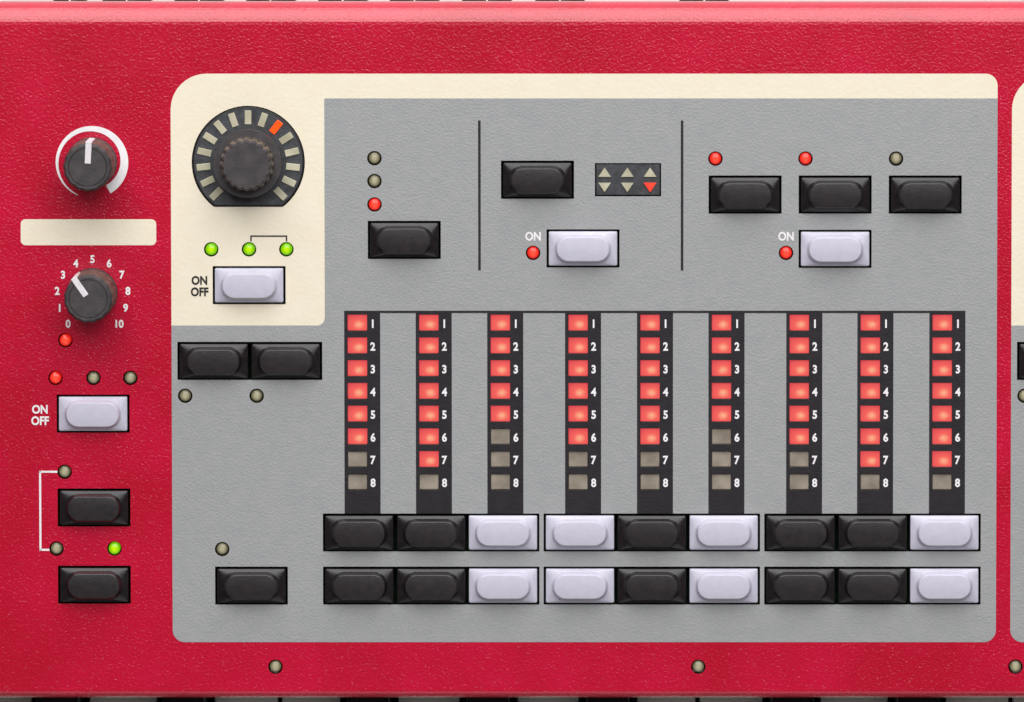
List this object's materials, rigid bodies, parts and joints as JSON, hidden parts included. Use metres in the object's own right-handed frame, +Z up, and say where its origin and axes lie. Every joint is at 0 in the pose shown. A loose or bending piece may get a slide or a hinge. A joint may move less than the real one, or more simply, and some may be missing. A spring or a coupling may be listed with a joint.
{
  "type": "stage piano",
  "caption": "Portable stage keyboard with a folded metal casing, sloping control panel with push buttons and knobs, piano keys, wheels and rear sockets.",
  "frame": {"origin": "bottom centre of the whole instrument, on the table", "axes": "+X to the treble end, +Y to the rear wall, +Z up"},
  "size_m": [1.064, 0.343, 0.1181],
  "materials": {
    "red": "fine textured crimson paint on folded steel sheet",
    "cheek": "crimson paint on hardwood",
    "rubber": "black rubber",
    "ivory": "polished white key plastic",
    "ebony": "satin black key plastic",
    "board": "green solder resist on glass-epoxy board",
    "smoke": "smoked dark window plastic",
    "black_cap": "fine matt charcoal ABS",
    "white_cap": "fine matt white ABS",
    "knob": "soft-touch charcoal plastic",
    "socket": "black moulded sockets on a dark board"
  },
  "bodies": {
    "casing": {"top_panel": "red", "bottom_tray": "red", "left_cheek": "cheek", "right_cheek": "cheek", "front_left_foot": "rubber", "front_right_foot": "rubber", "rear_left_foot": "rubber", "rear_right_foot": "rubber", "keybed": "ivory", "key_rail": "ebony", "control_board": "board", "level_ring_bezel": "smoke", "socket_board": "socket", "main_board": "board"},
    "drawbar_1_down_button": {"drawbar_1_down_button": "black_cap"},
    "drawbar_1_up_button": {"drawbar_1_up_button": "black_cap"},
    "drawbar_2_down_button": {"drawbar_2_down_button": "black_cap"},
    "drawbar_2_up_button": {"drawbar_2_up_button": "black_cap"},
    "drawbar_3_down_button": {"drawbar_3_down_button": "white_cap"},
    "drawbar_3_up_button": {"drawbar_3_up_button": "white_cap"},
    "drawbar_4_down_button": {"drawbar_4_down_button": "white_cap"},
    "drawbar_4_up_button": {"drawbar_4_up_button": "white_cap"},
    "drawbar_5_down_button": {"drawbar_5_down_button": "black_cap"},
    "drawbar_5_up_button": {"drawbar_5_up_button": "black_cap"},
    "drawbar_6_down_button": {"drawbar_6_down_button": "white_cap"},
    "drawbar_6_up_button": {"drawbar_6_up_button": "white_cap"},
    "drawbar_7_down_button": {"drawbar_7_down_button": "black_cap"},
    "drawbar_7_up_button": {"drawbar_7_up_button": "black_cap"},
    "drawbar_8_down_button": {"drawbar_8_down_button": "black_cap"},
    "drawbar_8_up_button": {"drawbar_8_up_button": "black_cap"},
    "drawbar_9_down_button": {"drawbar_9_down_button": "white_cap"},
    "drawbar_9_up_button": {"drawbar_9_up_button": "white_cap"},
    "drive_knob": {"drive_knob": "knob"},
    "key_c": {"key_c": "ivory"},
    "key_c_sharp": {"key_c_sharp": "ebony"},
    "key_d": {"key_d": "ivory"},
    "key_d_sharp": {"key_d_sharp": "ebony"},
    "key_e": {"key_e": "ivory"},
    "key_f": {"key_f": "ivory"},
    "key_f_sharp": {"key_f_sharp": "ebony"},
    "key_g": {"key_g": "ivory"},
    "level_knob": {"level_knob": "knob"},
    "master_knob": {"master_knob": "knob"},
    "mod_wheel": {"mod_wheel": "knob"},
    "octave_down_button": {"octave_down_button": "black_cap"},
    "octave_up_button": {"octave_up_button": "black_cap"},
    "organ_model_button": {"organ_model_button": "black_cap"},
    "percussion_decay_button": {"percussion_decay_button": "black_cap"},
    "percussion_harmonic_button": {"percussion_harmonic_button": "black_cap"},
    "percussion_on_button": {"percussion_on_button": "white_cap"},
    "percussion_volume_button": {"percussion_volume_button": "black_cap"},
    "pitch_wheel": {"pitch_wheel": "knob"},
    "power_rocker": {"power_rocker": "knob"},
    "preset_button": {"preset_button": "black_cap"},
    "slow_fast_button": {"slow_fast_button": "black_cap"},
    "source_button": {"source_button": "white_cap"},
    "stop_mode_button": {"stop_mode_button": "black_cap"},
    "vibrato_on_button": {"vibrato_on_button": "white_cap"},
    "vibrato_type_button": {"vibrato_type_button": "black_cap"},
    "zone_button": {"zone_button": "white_cap"}
  },
  "joints": [
    {"name": "source_button_travel", "type": "slide", "parent": "casing", "child": "source_button", "axis": [0, 0.0872, -0.9962], "range_m": [0, 0.0012], "stiffness_N_per_m": 300, "springref_m": -0.0015},
    {"name": "stop_mode_button_travel", "type": "slide", "parent": "casing", "child": "stop_mode_button", "axis": [0, 0.0872, -0.9962], "range_m": [0, 0.0012], "stiffness_N_per_m": 300, "springref_m": -0.0015},
    {"name": "slow_fast_button_travel", "type": "slide", "parent": "casing", "child": "slow_fast_button", "axis": [0, 0.0872, -0.9962], "range_m": [0, 0.0012], "stiffness_N_per_m": 300, "springref_m": -0.0015},
    {"name": "zone_button_travel", "type": "slide", "parent": "casing", "child": "zone_button", "axis": [0, 0.0872, -0.9962], "range_m": [0, 0.0012], "stiffness_N_per_m": 300, "springref_m": -0.0015},
    {"name": "preset_button_travel", "type": "slide", "parent": "casing", "child": "preset_button", "axis": [0, 0.0872, -0.9962], "range_m": [0, 0.0012], "stiffness_N_per_m": 300, "springref_m": -0.0015},
    {"name": "organ_model_button_travel", "type": "slide", "parent": "casing", "child": "organ_model_button", "axis": [0, 0.0872, -0.9962], "range_m": [0, 0.0012], "stiffness_N_per_m": 300, "springref_m": -0.0015},
    {"name": "vibrato_type_button_travel", "type": "slide", "parent": "casing", "child": "vibrato_type_button", "axis": [0, 0.0872, -0.9962], "range_m": [0, 0.0012], "stiffness_N_per_m": 300, "springref_m": -0.0015},
    {"name": "vibrato_on_button_travel", "type": "slide", "parent": "casing", "child": "vibrato_on_button", "axis": [0, 0.0872, -0.9962], "range_m": [0, 0.0012], "stiffness_N_per_m": 300, "springref_m": -0.0015},
    {"name": "percussion_volume_button_travel", "type": "slide", "parent": "casing", "child": "percussion_volume_button", "axis": [0, 0.0872, -0.9962], "range_m": [0, 0.0012], "stiffness_N_per_m": 300, "springref_m": -0.0015},
    {"name": "percussion_decay_button_travel", "type": "slide", "parent": "casing", "child": "percussion_decay_button", "axis": [0, 0.0872, -0.9962], "range_m": [0, 0.0012], "stiffness_N_per_m": 300, "springref_m": -0.0015},
    {"name": "percussion_harmonic_button_travel", "type": "slide", "parent": "casing", "child": "percussion_harmonic_button", "axis": [0, 0.0872, -0.9962], "range_m": [0, 0.0012], "stiffness_N_per_m": 300, "springref_m": -0.0015},
    {"name": "percussion_on_button_travel", "type": "slide", "parent": "casing", "child": "percussion_on_button", "axis": [0, 0.0872, -0.9962], "range_m": [0, 0.0012], "stiffness_N_per_m": 300, "springref_m": -0.0015},
    {"name": "octave_down_button_travel", "type": "slide", "parent": "casing", "child": "octave_down_button", "axis": [0, 0.0872, -0.9962], "range_m": [0, 0.0012], "stiffness_N_per_m": 300, "springref_m": -0.0015},
    {"name": "octave_up_button_travel", "type": "slide", "parent": "casing", "child": "octave_up_button", "axis": [0, 0.0872, -0.9962], "range_m": [0, 0.0012], "stiffness_N_per_m": 300, "springref_m": -0.0015},
    {"name": "drawbar_1_up_button_travel", "type": "slide", "parent": "casing", "child": "drawbar_1_up_button", "axis": [0, 0.0872, -0.9962], "range_m": [0, 0.0012], "stiffness_N_per_m": 300, "springref_m": -0.0015},
    {"name": "drawbar_2_up_button_travel", "type": "slide", "parent": "casing", "child": "drawbar_2_up_button", "axis": [0, 0.0872, -0.9962], "range_m": [0, 0.0012], "stiffness_N_per_m": 300, "springref_m": -0.0015},
    {"name": "drawbar_3_up_button_travel", "type": "slide", "parent": "casing", "child": "drawbar_3_up_button", "axis": [0, 0.0872, -0.9962], "range_m": [0, 0.0012], "stiffness_N_per_m": 300, "springref_m": -0.0015},
    {"name": "drawbar_4_up_button_travel", "type": "slide", "parent": "casing", "child": "drawbar_4_up_button", "axis": [0, 0.0872, -0.9962], "range_m": [0, 0.0012], "stiffness_N_per_m": 300, "springref_m": -0.0015},
    {"name": "drawbar_5_up_button_travel", "type": "slide", "parent": "casing", "child": "drawbar_5_up_button", "axis": [0, 0.0872, -0.9962], "range_m": [0, 0.0012], "stiffness_N_per_m": 300, "springref_m": -0.0015},
    {"name": "drawbar_6_up_button_travel", "type": "slide", "parent": "casing", "child": "drawbar_6_up_button", "axis": [0, 0.0872, -0.9962], "range_m": [0, 0.0012], "stiffness_N_per_m": 300, "springref_m": -0.0015},
    {"name": "drawbar_7_up_button_travel", "type": "slide", "parent": "casing", "child": "drawbar_7_up_button", "axis": [0, 0.0872, -0.9962], "range_m": [0, 0.0012], "stiffness_N_per_m": 300, "springref_m": -0.0015},
    {"name": "drawbar_8_up_button_travel", "type": "slide", "parent": "casing", "child": "drawbar_8_up_button", "axis": [0, 0.0872, -0.9962], "range_m": [0, 0.0012], "stiffness_N_per_m": 300, "springref_m": -0.0015},
    {"name": "drawbar_9_up_button_travel", "type": "slide", "parent": "casing", "child": "drawbar_9_up_button", "axis": [0, 0.0872, -0.9962], "range_m": [0, 0.0012], "stiffness_N_per_m": 300, "springref_m": -0.0015},
    {"name": "drawbar_1_down_button_travel", "type": "slide", "parent": "casing", "child": "drawbar_1_down_button", "axis": [0, 0.0872, -0.9962], "range_m": [0, 0.0012], "stiffness_N_per_m": 300, "springref_m": -0.0015},
    {"name": "drawbar_2_down_button_travel", "type": "slide", "parent": "casing", "child": "drawbar_2_down_button", "axis": [0, 0.0872, -0.9962], "range_m": [0, 0.0012], "stiffness_N_per_m": 300, "springref_m": -0.0015},
    {"name": "drawbar_3_down_button_travel", "type": "slide", "parent": "casing", "child": "drawbar_3_down_button", "axis": [0, 0.0872, -0.9962], "range_m": [0, 0.0012], "stiffness_N_per_m": 300, "springref_m": -0.0015},
    {"name": "drawbar_4_down_button_travel", "type": "slide", "parent": "casing", "child": "drawbar_4_down_button", "axis": [0, 0.0872, -0.9962], "range_m": [0, 0.0012], "stiffness_N_per_m": 300, "springref_m": -0.0015},
    {"name": "drawbar_5_down_button_travel", "type": "slide", "parent": "casing", "child": "drawbar_5_down_button", "axis": [0, 0.0872, -0.9962], "range_m": [0, 0.0012], "stiffness_N_per_m": 300, "springref_m": -0.0015},
    {"name": "drawbar_6_down_button_travel", "type": "slide", "parent": "casing", "child": "drawbar_6_down_button", "axis": [0, 0.0872, -0.9962], "range_m": [0, 0.0012], "stiffness_N_per_m": 300, "springref_m": -0.0015},
    {"name": "drawbar_7_down_button_travel", "type": "slide", "parent": "casing", "child": "drawbar_7_down_button", "axis": [0, 0.0872, -0.9962], "range_m": [0, 0.0012], "stiffness_N_per_m": 300, "springref_m": -0.0015},
    {"name": "drawbar_8_down_button_travel", "type": "slide", "parent": "casing", "child": "drawbar_8_down_button", "axis": [0, 0.0872, -0.9962], "range_m": [0, 0.0012], "stiffness_N_per_m": 300, "springref_m": -0.0015},
    {"name": "drawbar_9_down_button_travel", "type": "slide", "parent": "casing", "child": "drawbar_9_down_button", "axis": [0, 0.0872, -0.9962], "range_m": [0, 0.0012], "stiffness_N_per_m": 300, "springref_m": -0.0015},
    {"name": "key_c_pivot", "type": "hinge", "parent": "casing", "child": "key_c", "pos_m": [0, 0.0791, 0.054], "axis": [1, 0, 0], "range_deg": [0, 2.6], "stiffness_Nm_per_rad": 1, "springref_deg": -11.46},
    {"name": "key_c_sharp_pivot", "type": "hinge", "parent": "casing", "child": "key_c_sharp", "pos_m": [0, 0.0791, 0.054], "axis": [1, 0, 0], "range_deg": [0, 2.6], "stiffness_Nm_per_rad": 1, "springref_deg": -11.46},
    {"name": "key_d_pivot", "type": "hinge", "parent": "casing", "child": "key_d", "pos_m": [0, 0.0791, 0.054], "axis": [1, 0, 0], "range_deg": [0, 2.6], "stiffness_Nm_per_rad": 1, "springref_deg": -11.46},
    {"name": "key_d_sharp_pivot", "type": "hinge", "parent": "casing", "child": "key_d_sharp", "pos_m": [0, 0.0791, 0.054], "axis": [1, 0, 0], "range_deg": [0, 2.6], "stiffness_Nm_per_rad": 1, "springref_deg": -11.46},
    {"name": "key_e_pivot", "type": "hinge", "parent": "casing", "child": "key_e", "pos_m": [0, 0.0791, 0.054], "axis": [1, 0, 0], "range_deg": [0, 2.6], "stiffness_Nm_per_rad": 1, "springref_deg": -11.46},
    {"name": "key_f_pivot", "type": "hinge", "parent": "casing", "child": "key_f", "pos_m": [0, 0.0791, 0.054], "axis": [1, 0, 0], "range_deg": [0, 2.6], "stiffness_Nm_per_rad": 1, "springref_deg": -11.46},
    {"name": "key_f_sharp_pivot", "type": "hinge", "parent": "casing", "child": "key_f_sharp", "pos_m": [0, 0.0791, 0.054], "axis": [1, 0, 0], "range_deg": [0, 2.6], "stiffness_Nm_per_rad": 1, "springref_deg": -11.46},
    {"name": "key_g_pivot", "type": "hinge", "parent": "casing", "child": "key_g", "pos_m": [0, 0.0791, 0.054], "axis": [1, 0, 0], "range_deg": [0, 2.6], "stiffness_Nm_per_rad": 1, "springref_deg": -11.46},
    {"name": "master_knob_turn", "type": "hinge", "parent": "casing", "child": "master_knob", "pos_m": [-0.3586, 0.13064, 0.10246], "axis": [0, -0.0872, 0.9962], "range_deg": [-137, 143]},
    {"name": "drive_knob_turn", "type": "hinge", "parent": "casing", "child": "drive_knob", "pos_m": [-0.3586, 0.10165, 0.09992], "axis": [0, -0.0872, 0.9962], "range_deg": [-174.6, 105.4]},
    {"name": "level_knob_turn", "type": "hinge", "parent": "casing", "child": "level_knob", "pos_m": [-0.3239, 0.13064, 0.10246], "axis": [0, -0.0872, 0.9962], "continuous": true},
    {"name": "pitch_wheel_turn", "type": "hinge", "parent": "casing", "child": "pitch_wheel", "pos_m": [-0.4644, 0.12389, 0.08782], "axis": [1, 0, 0], "range_deg": [-30, 30], "stiffness_Nm_per_rad": 0.2},
    {"name": "mod_wheel_turn", "type": "hinge", "parent": "casing", "child": "mod_wheel", "pos_m": [-0.4244, 0.12389, 0.08782], "axis": [1, 0, 0], "range_deg": [-56, 0]},
    {"name": "power_rocker_tip", "type": "hinge", "parent": "casing", "child": "power_rocker", "pos_m": [0.41058, 0.1645, 0.054], "axis": [1, 0, 0], "range_deg": [0, 14]}
  ]
}
